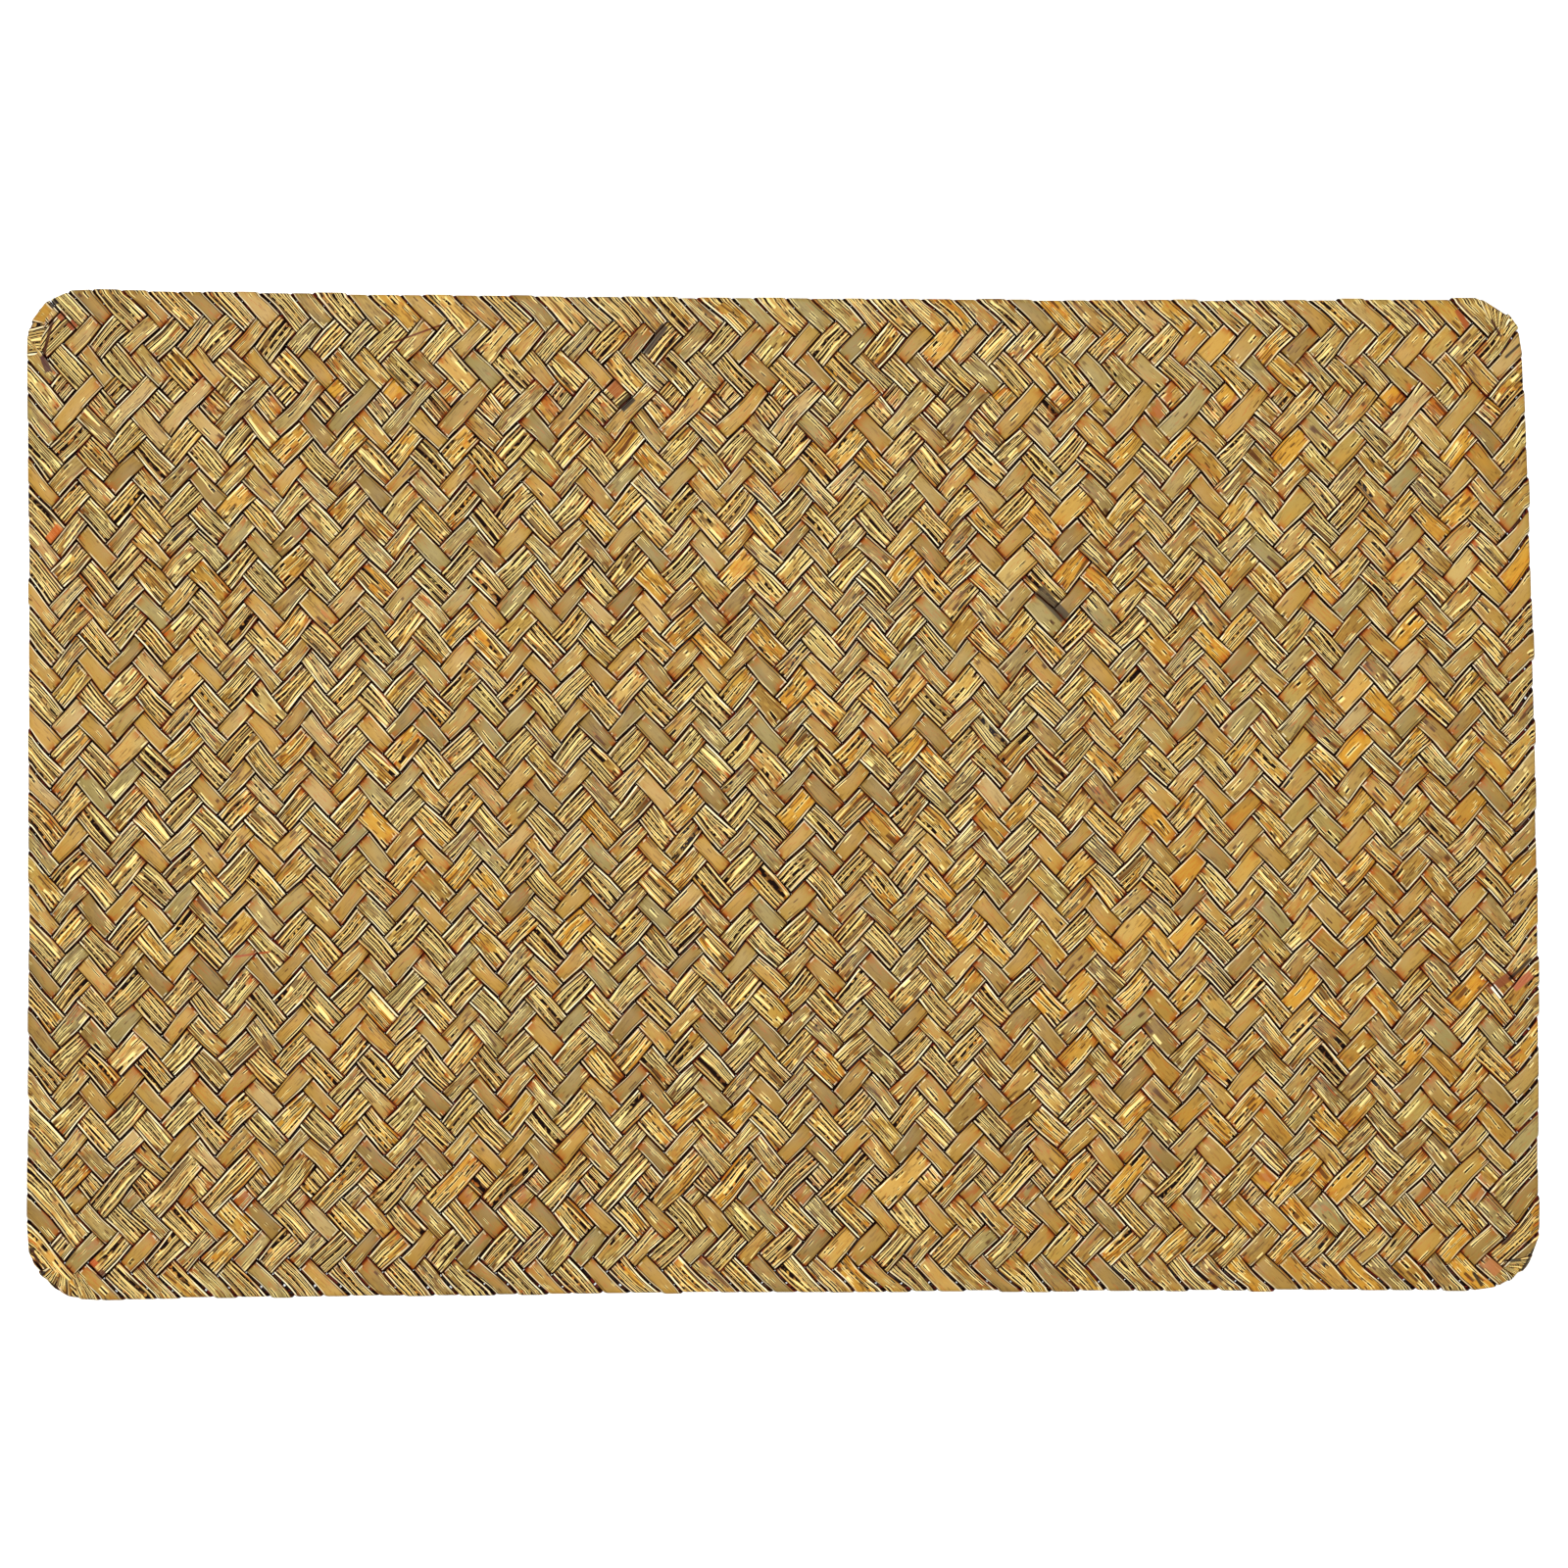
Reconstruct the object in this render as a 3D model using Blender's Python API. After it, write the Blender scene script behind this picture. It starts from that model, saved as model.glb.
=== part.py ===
"""A flat placemat plaited from dried plant strips, as one solid.

The strips pass over and under each other in two layers, and at the edge they fold back into the
mat, so there is no separate binding: the rim is round, with a small lobe for each folded strip.
The mat lies on its underside, in metres, with +Z up and +X along its length.
"""

import math

import bmesh
import bpy

# The mat's overall size, as if its sides were straight and its corners square
LENGTH = 0.4510
WIDTH = 0.3020
THICKNESS = 0.0028

# The plaiting pulls the mat a little out of square. Each row is one corner, going round
# counter-clockwise: the side it is on along X and Y, its radius, and how far it has moved.
CORNER_COLUMNS = ("side_x", "side_y", "radius", "moved_x", "moved_y")
CORNERS = (
    (1, -1, 0.0185, 0.0000, 0.0031),
    (1, 1, 0.0150, -0.0054, -0.0031),
    (-1, 1, 0.0165, 0.0000, 0.0000),
    (-1, -1, 0.0195, 0.0000, 0.0000),
)

# How far the middle of each long and short side stands out from a straight line
BOW_TOP = -0.0012
BOW_BOTTOM = -0.0008
BOW_RIGHT = 0.0021
BOW_LEFT = -0.0004

# The lobes that the folded strips make along the rim
LOBES = 172
LOBE_DEPTH = 0.00035
LOBE_FULLNESS = 0.6
POINTS_PER_LOBE = 4

# The half-round section of the rim, in angles from its lower edge to its upper edge
RIM_ANGLES = (-90, -35, 35, 90)

STRIP_COLOUR = (0.58, 0.36, 0.11, 1.0)
STRIP_ROUGHNESS = 0.55


def clear_scene():
    for thing in list(bpy.data.objects):
        bpy.data.objects.remove(thing)


def named_corners():
    return [dict(zip(CORNER_COLUMNS, row)) for row in CORNERS]


def round_cornered_stretches():
    """The straight and round stretches of the plain outline, counter-clockwise, as
    (length, place_at) pairs, where place_at gives a point and its outward direction."""
    corners = named_corners()
    stretches = []
    for number, corner in enumerate(corners):
        radius = corner["radius"]
        centre = (corner["side_x"] * (LENGTH / 2 - radius), corner["side_y"] * (WIDTH / 2 - radius))
        first_angle = math.radians(-90 + 90 * number)
        stretches.append((radius * math.pi / 2, round_corner(centre, radius, first_angle)))
        after = corners[(number + 1) % len(corners)]
        outward = (math.cos(first_angle + math.pi / 2), math.sin(first_angle + math.pi / 2))
        start = (centre[0] + radius * outward[0], centre[1] + radius * outward[1])
        whole = WIDTH if corner["side_x"] == after["side_x"] else LENGTH
        stretches.append((whole - radius - after["radius"], straight_side(start, outward)))
    return stretches


def round_corner(centre, radius, first_angle):
    def place_at(distance):
        angle = first_angle + distance / radius
        outward = (math.cos(angle), math.sin(angle))
        return (centre[0] + radius * outward[0], centre[1] + radius * outward[1]), outward

    return place_at


def straight_side(start, outward):
    def place_at(distance):
        along = (-outward[1], outward[0])
        return (start[0] + distance * along[0], start[1] + distance * along[1]), outward

    return place_at


def lobe_offset(turns):
    """How far the rim stands in from its plain outline, after so many lobes."""
    return LOBE_DEPTH * (abs(math.sin(math.pi * turns)) ** LOBE_FULLNESS - 1)


def plain_rim_points():
    """Points along the lobed rim of the straight-sided mat, each with its outward direction."""
    stretches = round_cornered_stretches()
    whole = sum(length for length, _ in stretches)
    count = LOBES * POINTS_PER_LOBE
    points = []
    for number in range(count):
        distance = whole * number / count
        for length, place_at in stretches:
            if distance <= length:
                break
            distance -= length
        (x, y), outward = place_at(distance)
        offset = lobe_offset(number / POINTS_PER_LOBE)
        points.append(((x + offset * outward[0], y + offset * outward[1]), outward))
    return points


def as_plaited(x, y):
    """Where a point of the straight-sided mat lies in the mat as it was plaited."""
    across, up = 2 * x / LENGTH, 2 * y / WIDTH
    moved_x = BOW_RIGHT * (1 - up**2) * (1 + across) / 2 - BOW_LEFT * (1 - up**2) * (1 - across) / 2
    moved_y = BOW_TOP * (1 - across**2) * (1 + up) / 2 - BOW_BOTTOM * (1 - across**2) * (1 - up) / 2
    for corner in named_corners():
        share = (1 + corner["side_x"] * across) * (1 + corner["side_y"] * up) / 4
        moved_x += share * corner["moved_x"]
        moved_y += share * corner["moved_y"]
    return x + moved_x, y + moved_y


def rim_ring(points, angle):
    """One ring of places round the rim, at an angle of its half-round section."""
    reach = THICKNESS / 2 * (math.cos(angle) - 1)
    height = THICKNESS / 2 * (math.sin(angle) + 1)
    ring = []
    for (x, y), outward in points:
        placed = as_plaited(x + reach * outward[0], y + reach * outward[1])
        ring.append((placed[0], placed[1], height))
    return ring


def middle_of(ring):
    xs = [place[0] for place in ring]
    ys = [place[1] for place in ring]
    return (min(xs) + max(xs)) / 2, (min(ys) + max(ys)) / 2


def mat_mesh():
    """The mat's closed surface: a flat underside, the round rim and a flat top."""
    points = plain_rim_points()
    rings = [rim_ring(points, math.radians(angle)) for angle in RIM_ANGLES]
    middle_x, middle_y = middle_of(rings[1])
    shell = bmesh.new()
    rows = [
        [shell.verts.new((x - middle_x, y - middle_y, z)) for x, y, z in ring] for ring in rings
    ]
    for lower, upper in zip(rows, rows[1:]):
        for place in range(len(lower)):
            after = (place + 1) % len(lower)
            shell.faces.new((lower[place], lower[after], upper[after], upper[place]))
    underside = shell.faces.new(list(reversed(rows[0])))
    top = shell.faces.new(rows[-1])
    bmesh.ops.triangulate(shell, faces=[underside, top], ngon_method="BEAUTY")
    mesh = bpy.data.meshes.new("plaited_mat")
    shell.to_mesh(mesh)
    shell.free()
    mesh.shade_smooth()
    mesh.set_sharp_from_angle(angle=math.radians(50))
    return mesh


def strip_material():
    material = bpy.data.materials.new("dried_strip")
    material.use_nodes = True
    finish = material.node_tree.nodes["Principled BSDF"]
    finish.inputs["Base Color"].default_value = STRIP_COLOUR
    finish.inputs["Roughness"].default_value = STRIP_ROUGHNESS
    finish.inputs["Metallic"].default_value = 0.0
    return material


def plaited_mat():
    mat = bpy.data.objects.new("plaited_mat", mat_mesh())
    mat.data.materials.append(strip_material())
    bpy.context.scene.collection.objects.link(mat)
    return mat


clear_scene()
plaited_mat()
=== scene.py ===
"""A flat placemat, plaited on the bias from dried plant strips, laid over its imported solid."""

import math

import bpy
import numpy as np
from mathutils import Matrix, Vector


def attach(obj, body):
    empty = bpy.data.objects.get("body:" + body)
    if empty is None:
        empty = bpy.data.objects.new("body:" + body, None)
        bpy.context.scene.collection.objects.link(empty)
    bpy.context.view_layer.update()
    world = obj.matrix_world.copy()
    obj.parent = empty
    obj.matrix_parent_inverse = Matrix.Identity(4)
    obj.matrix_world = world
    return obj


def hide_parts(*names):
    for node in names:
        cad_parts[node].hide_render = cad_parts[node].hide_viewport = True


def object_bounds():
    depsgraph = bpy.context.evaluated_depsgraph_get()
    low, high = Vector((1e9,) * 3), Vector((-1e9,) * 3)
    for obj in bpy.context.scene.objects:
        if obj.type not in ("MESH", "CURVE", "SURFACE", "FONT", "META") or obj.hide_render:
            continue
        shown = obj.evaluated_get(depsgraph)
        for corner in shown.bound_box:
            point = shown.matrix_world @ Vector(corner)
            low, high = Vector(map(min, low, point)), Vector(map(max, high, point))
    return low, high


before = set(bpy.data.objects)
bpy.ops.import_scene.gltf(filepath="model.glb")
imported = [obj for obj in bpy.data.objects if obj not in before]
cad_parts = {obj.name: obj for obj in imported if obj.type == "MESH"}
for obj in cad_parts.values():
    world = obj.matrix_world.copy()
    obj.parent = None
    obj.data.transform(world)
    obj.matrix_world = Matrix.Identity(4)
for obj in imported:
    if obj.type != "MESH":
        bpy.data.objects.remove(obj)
cad_low, cad_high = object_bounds()

# The streaked strips that run down to the right. A maker splits and flattens dried stems, and
# these show the pale fibrous inside. They cross the mat on the bias, over two and under two of
# the strips that run up to the right, and at the rim they fold over and go back underneath.

MILLIMETRE = 0.001
MAT_LENGTH = 0.4510
MAT_WIDTH = 0.3020
MIDDLE_HEIGHT = (cad_low.z + cad_high.z) / 2

# Strips cross in a lattice of columns and rows, every second place of it, like a chessboard's
# white squares. A strip's number is where it stands among its like, so that a crossing is at
# column (down strip + up strip) and row (up strip - down strip), counted from the top left.
COLUMNS = 108
ROWS = 66
COLUMN = MAT_LENGTH / COLUMNS
ROW = MAT_WIDTH / ROWS
CROSSING_STEP = math.hypot(COLUMN, ROW)
STRIP_PITCH = 2 * COLUMN * ROW / CROSSING_STEP
DOWN_STRIPS = range(-32, 54)
UP_STRIPS = range(1, 86)

# A strip's middle is this far above or below the mat's mid plane. It folds over the rim at that
# radius, bulges a little more or less there, and ends a tuck's length past the fold.
LAYER_RISE = 0.00074
HALF_THICKNESS = 0.00052
FOLD_END = math.pi * LAYER_RISE
TUCK = 0.0005
FOLD_BULGE = 0.00018
RIM_REACH = LAYER_RISE + HALF_THICKNESS

# Each corner: its side along X and Y, its radius, and how far the plaiting has pulled it
CORNER_COLUMNS = ("side_x", "side_y", "radius", "moved_x", "moved_y")
CORNERS = (
    (1, -1, 0.0185, 0.0000, 0.0031),
    (1, 1, 0.0150, -0.0054, -0.0031),
    (-1, 1, 0.0165, 0.0000, 0.0000),
    (-1, -1, 0.0195, 0.0000, 0.0000),
)
# How far the middle of each side bows out of the mat, or in where it is less than nothing
BOW_TOP = -0.0012
BOW_BOTTOM = -0.0008
BOW_RIGHT = 0.0021
BOW_LEFT = -0.0004
# The share of a side, from its middle, that lies between its corners, and the points to look at
SIDE_REACH = 0.45
SIDE_POINTS = 181


def as_plaited(x, y):
    """Where a point of a straight-sided mat lies in this one, which is a little out of square."""
    across, up = 2 * x / MAT_LENGTH, 2 * y / MAT_WIDTH
    moved_x = BOW_RIGHT * (1 - up**2) * (1 + across) / 2 - BOW_LEFT * (1 - up**2) * (1 - across) / 2
    moved_y = BOW_TOP * (1 - across**2) * (1 + up) / 2 - BOW_BOTTOM * (1 - across**2) * (1 - up) / 2
    for row in CORNERS:
        corner = dict(zip(CORNER_COLUMNS, row))
        share = (1 + corner["side_x"] * across) * (1 + corner["side_y"] * up) / 4
        moved_x = moved_x + share * corner["moved_x"]
        moved_y = moved_y + share * corner["moved_y"]
    return x + moved_x, y + moved_y


def middle_of_mat():
    """The middle of the pulled mat's sides, which the solid has at the origin."""
    along = np.linspace(-SIDE_REACH, SIDE_REACH, SIDE_POINTS)
    right = as_plaited(MAT_LENGTH / 2, MAT_WIDTH * along)[0].max()
    left = as_plaited(-MAT_LENGTH / 2, MAT_WIDTH * along)[0].min()
    top = as_plaited(MAT_LENGTH * along, MAT_WIDTH / 2)[1].max()
    bottom = as_plaited(MAT_LENGTH * along, -MAT_WIDTH / 2)[1].min()
    return (left + right) / 2, (bottom + top) / 2


MIDDLE_X, MIDDLE_Y = middle_of_mat()

# Near the rims the plait is pressed together by this share of what a fold leaves over, and so many
# columns or rows further in the pressing has died away to a third
HOW_PRESSED = 0.5
PRESSED_COLUMNS = 1.8
PRESSED_ROWS = 1.5
NEXT_TO_NOTHING = 1e-9
# Over two and under two, so the weave repeats every four crossings. It lies on its side in the
# last rows at the top and bottom, and at the left end the strips that run down are on top in all
# rows but these two.
WEAVE_REPEAT = 4
OVER = 2
LYING_ROWS = 7
LEFT_END_DIVES = (2, 3)


def crowded(place, count, step, fade):
    """A column or row's place, where the plait is pressed together towards the two rims, so that
    a strip that folds over there comes back nearly in line with one of the other direction."""
    fold_place = FOLD_END / step / 2 - 1
    pressed = (RIM_REACH / step - 0.5 - fold_place) * HOW_PRESSED
    near = pressed * np.exp(-np.maximum(place - fold_place, 0) / fade)
    far = pressed * np.exp(-np.maximum(count - 1 - place - fold_place, 0) / fade)
    return place + near - far


def on_the_flat(column, row):
    """The straight-sided mat's x and y at a place in the lattice."""
    x = (crowded(column, COLUMNS, COLUMN, PRESSED_COLUMNS) + 0.5) * COLUMN - MAT_LENGTH / 2
    y = MAT_WIDTH / 2 - (crowded(row, ROWS, ROW, PRESSED_ROWS) + 0.5) * ROW
    return x, y


def past_fold(x, y):
    """How far a point is past the line where strips fold over, and the way out of the mat."""
    radius = np.zeros_like(x)
    for row in CORNERS:
        corner = dict(zip(CORNER_COLUMNS, row))
        here = (x * corner["side_x"] >= 0) & (y * corner["side_y"] >= 0)
        radius = np.where(here, corner["radius"] - RIM_REACH, radius)
    over_x = np.abs(x) - (MAT_LENGTH / 2 - RIM_REACH - radius)
    over_y = np.abs(y) - (MAT_WIDTH / 2 - RIM_REACH - radius)
    out_x, out_y = np.maximum(over_x, 0), np.maximum(over_y, 0)
    outside = np.hypot(out_x, out_y)
    distance = outside + np.minimum(np.maximum(over_x, over_y), 0) - radius
    safe = np.maximum(outside, NEXT_TO_NOTHING)
    return distance, np.sign(x) * out_x / safe, np.sign(y) * out_y / safe


def down_on_top(column, row):
    """Whether the strip that runs down to the right is the upper one at a crossing. Along the top
    and bottom rims the zigzag lies on its side, and at the ends one direction folds over."""
    depth = np.minimum(row, ROWS - 1 - row)
    on_top = np.where(depth < LYING_ROWS, depth, column) % WEAVE_REPEAT < OVER
    on_top = np.where(column <= 1, ~np.isin(row, LEFT_END_DIVES), on_top)
    return np.where(column >= COLUMNS - 2, (column == COLUMNS - 2) & (row == 0), on_top)


# Where two neighbours meet, their edges waver together, so that the gap stays narrow. Lengths are
# in crossings, and sizes and gaps are shares of a strip's pitch.
WAVER_LENGTHS = np.array((15.0, 6.3, 3.5))
WAVER_SIZES = np.array((0.040, 0.045, 0.040))
HALF_GAP = 0.010
SPARE_ON_LEFT = {"down": 0.0, "up": 0.014}
# Every second strip is the narrower one, hardly so to the right of the even column, and fully to
# the left of the uneven one
WIDE_AND_NARROW = 0.070
EVEN_COLUMN, UNEVEN_COLUMN = 84, 56
LEAST_UNEVEN = 0.15
NARROW_ONES = {"down": 0, "up": 1}
# Some strips are loose in the last rows before the right and bottom rims, and all splay at a rim
LOOSE_AT_RIM = 0.07
LOOSE_ROWS = 4
SPLAY_AT_RIM = 0.022
SPLAY_ROWS = 2.5
# A strip's luck is looked up by how far its number is past this one
FIRST_WAVER = -100
WAVERS = 240
waver_luck = np.random.default_rng(41)
waver_starts = {
    "down": waver_luck.uniform(0, 2 * math.pi, (WAVERS, len(WAVER_LENGTHS))),
    "up": waver_luck.uniform(0, 2 * math.pi, (WAVERS, len(WAVER_LENGTHS))),
}
rim_luck = {"down": waver_luck.uniform(0, 1, WAVERS), "up": waver_luck.uniform(0, 1, WAVERS)}


def edge_after(direction, number, along):
    """Where the edge between a strip and the next one lies, in strip numbers."""
    number, along = np.broadcast_arrays(number, along)
    starts = waver_starts[direction][number - FIRST_WAVER]
    turns = 2 * math.pi * along[..., None] / WAVER_LENGTHS
    waver = (WAVER_SIZES * np.sin(turns + starts)).sum(-1)
    uneven = (EVEN_COLUMN - number - along) / (EVEN_COLUMN - UNEVEN_COLUMN)
    side = np.where(number % 2 == NARROW_ONES[direction], -1, 1)
    return number + 0.5 + waver + side * WIDE_AND_NARROW * np.clip(uneven, LEAST_UNEVEN, 1)


def crossings_of(direction, number):
    """The strips that one strip crosses, by number, and whether it is on top of each."""
    other = np.arange(-ROWS, COLUMNS + ROWS)
    column = number + other
    row = other - number if direction == "down" else number - other
    inside = (column >= 0) & (column < COLUMNS) & (row >= 0) & (row < ROWS)
    over = down_on_top(column[inside], row[inside])
    return other[inside], over if direction == "down" else ~over


# A strip's section: points from edge to edge as shares of its width, and their height
SECTION_SHARES = np.array((0.0, 0.030, 0.110, 0.890, 0.970, 1.0))
SECTION_HEIGHTS = np.array((0.0, 0.80, 1.0, 1.0, 0.80, 0.0))
RING = np.array((0, 1, 2, 3, 4, 5, 4, 3, 2, 1))
RING_SIDES = np.array((0, 1, 1, 1, 1, 0, -1, -1, -1, -1))
# Along a strip there are points where it leaves one height, halfway, and where it is at the next
DIVE = 0.20
STATIONS = np.array((0.39, 0.445, 0.5, 0.555, 0.61))
FOLD_STEPS = 8
ENTRY_STEPS = 5
# A strip that a corner cuts is laid where this many of its lines run so many crossings at least,
# and one too short for the usual rings gets some by its length
LEAST_CHORD = 0.7
LEAST_LINES = 8
LEAST_RINGS, RINGS_PER_CROSSING = 4, 5
# Crossings past a strip's first or last one, and short of its fold lines, and how fine to search
WELL_OUTSIDE = 3.0
CLEAR_OF_FOLD = 0.12
EDGES_BEYOND = 5
HALVINGS = 26
LINES_TRIED = 26
PLACES_TRIED = 161
MIDDLES_TRIED = 121
FAR_AWAY = 999.0


def lattice_place(direction, along, across):
    """The column and row at a place along and across the strips of one direction."""
    row = along - across if direction == "down" else across - along
    return along + across, row


def strip_line(direction, number, share, along):
    """A line along a strip, at a share of its width, on the flat."""
    on_left = np.clip((EVEN_COLUMN - number - along) / (EVEN_COLUMN - UNEVEN_COLUMN), 0, 1)
    gap = HALF_GAP + SPARE_ON_LEFT[direction] * on_left
    column, row = lattice_place(direction, along, number)
    to_rim = np.minimum(COLUMNS - column, ROWS - row)
    loose = LOOSE_AT_RIM * rim_luck[direction][number - FIRST_WAVER] ** 3
    gap = gap + loose * np.clip(1 - to_rim / LOOSE_ROWS, 0, 1)
    to_any_rim = np.minimum(to_rim, np.minimum(column, row) + 1)
    gap = gap + SPLAY_AT_RIM * np.clip(1 - to_any_rim / SPLAY_ROWS, 0, 1)
    low = edge_after(direction, number - 1, along) + gap
    high = edge_after(direction, number, along) - gap
    return on_the_flat(*lattice_place(direction, along, low + (high - low) * share))


def where_it_passes(line, shares, inside, outside, distance):
    """The places along a strip where its lines are just so far past the fold line."""
    inside, outside = inside.copy(), outside.copy()
    for _ in range(HALVINGS):
        middle = (inside + outside) / 2
        beyond = past_fold(*line(shares, middle))[0] > distance
        outside = np.where(beyond, middle, outside)
        inside = np.where(beyond, inside, middle)
    return (inside + outside) / 2


def width_that_fits(line, first, last, reach):
    """The shares of a strip's width between which it is long enough inside a rounded corner."""
    shares = np.linspace(0, 1, LINES_TRIED)
    along = np.linspace(first - 2, last + 2, PLACES_TRIED)
    past = past_fold(*line(shares[:, None], along[None, :]))[0]
    kept = (past < reach).sum(1) * (along[1] - along[0]) > LEAST_CHORD
    if kept.sum() < LEAST_LINES:
        return None
    return shares[kept].min(), shares[kept].max()


def strip_stations(line, shares, first, last, over_first, over_last, even_to_true):
    """The places along each of a strip's lines, from end to end: round the fold where it folds,
    then on from the fold line to where all the lines keep step."""
    grid = np.linspace(first - 1, last + 1, MIDDLES_TRIED)
    deepest = grid[past_fold(*line(shares[:, None], grid[None, :]))[0].argmin(1)]
    ends = []
    for outer, over in ((first - WELL_OUTSIDE, over_first), (last + WELL_OUTSIDE, over_last)):
        outside = np.full_like(deepest, outer)
        inner = where_it_passes(line, shares, deepest, outside, 0.0)
        blocks = []
        if over:
            reach = FOLD_END + TUCK
            outer_end = where_it_passes(line, shares, deepest, outside, FOLD_END)
            tucked = where_it_passes(line, shares, deepest, outside, reach)
            blocks.append(tucked)
            for share in np.linspace(0, 1, FOLD_STEPS + 1)[:-1]:
                blocks.append(outer_end + (inner - outer_end) * share)
        ends.append((blocks, inner))
    (start_blocks, start), (end_blocks, end) = ends
    even = (np.arange(first - 1, last + 2)[:, None] + STATIONS[None, :]).ravel()
    common = even_to_true(even)
    kept = (common > start.max() + CLEAR_OF_FOLD) & (common < end.min() - CLEAR_OF_FOLD)
    common = common[kept]
    if len(common) > 1:
        steps = np.linspace(0, 1, ENTRY_STEPS + 1)[:-1]
        entry = [start + (common[0] - start) * share for share in steps]
        leave = [end + (common[-1] - end) * share for share in steps[::-1]]
        middle = entry + [np.full_like(start, place) for place in common] + leave
    else:
        count = LEAST_RINGS + int(RINGS_PER_CROSSING * (end - start).max())
        middle = [start + (end - start) * share for share in np.linspace(0, 1, count)]
    return np.array(start_blocks + middle + end_blocks[::-1])


def stepped(values, first, place):
    """A value for each crossing, with a smooth step halfway to the next crossing."""
    before = np.floor(place).astype(int)
    count = len(values) - 1
    here = values[np.clip(before - first, 0, count)]
    after = values[np.clip(before + 1 - first, 0, count)]
    share = np.clip((place - before - 0.5) / DIVE + 0.5, 0, 1)
    return here + (after - here) * share**2 * (3 - 2 * share)


def folded(x, y, height, section, bulge):
    """A strip's points: past the fold line it turns over the rim and goes back underneath."""
    past, out_x, out_y = past_fold(x, y)
    turn = np.clip(past, 0, FOLD_END) / LAYER_RISE
    push = (LAYER_RISE + bulge + section) * np.sin(turn)
    push = push - np.maximum(past - FOLD_END, 0) - np.maximum(past, 0)
    x, y = as_plaited(x + out_x * push, y + out_y * push)
    z = (height + section) * np.cos(turn) + MIDDLE_HEIGHT
    return np.stack((x - MIDDLE_X, y - MIDDLE_Y, z), -1)


# What changes from one float of a strip to the next, and how far luck goes at most: the tilt of
# its section in metres, the share by which it is puffed up, its tone, its warmth and its streaks
BY_FLOAT = ("tone", "warmth", "tilt", "puff", "streaks")
MOST_LUCK = 2
TILT = 0.00006
PUFF = 0.08
STREAKS_BY_FLOAT = 0.18
LEAST_STREAKS = 0.05
# A float's looks also go by its place: columns and rows where the mat's right, left and foot start,
# and over how many more they come in fully
RIGHT_FROM, RIGHT_OVER = 60, 30
LEFT_FROM, LEFT_OVER = 36, 20
FOOT_FROM, FOOT_OVER = 6, 54
EVENER_ON_RIGHT = 0.35
UNEVEN_ON_LEFT = 0.45
PALER_ON_LEFT = 0.35
DARKER_AT_FOOT, DARKER_STILL_ON_RIGHT = 0.80, 0.20
WARMER_AT_FOOT = 0.5
# How far apart in the finish's noise two strips are, and the two sides of one strip
STRIP_APART = 7.3
SIDES_APART = 0.6


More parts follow.
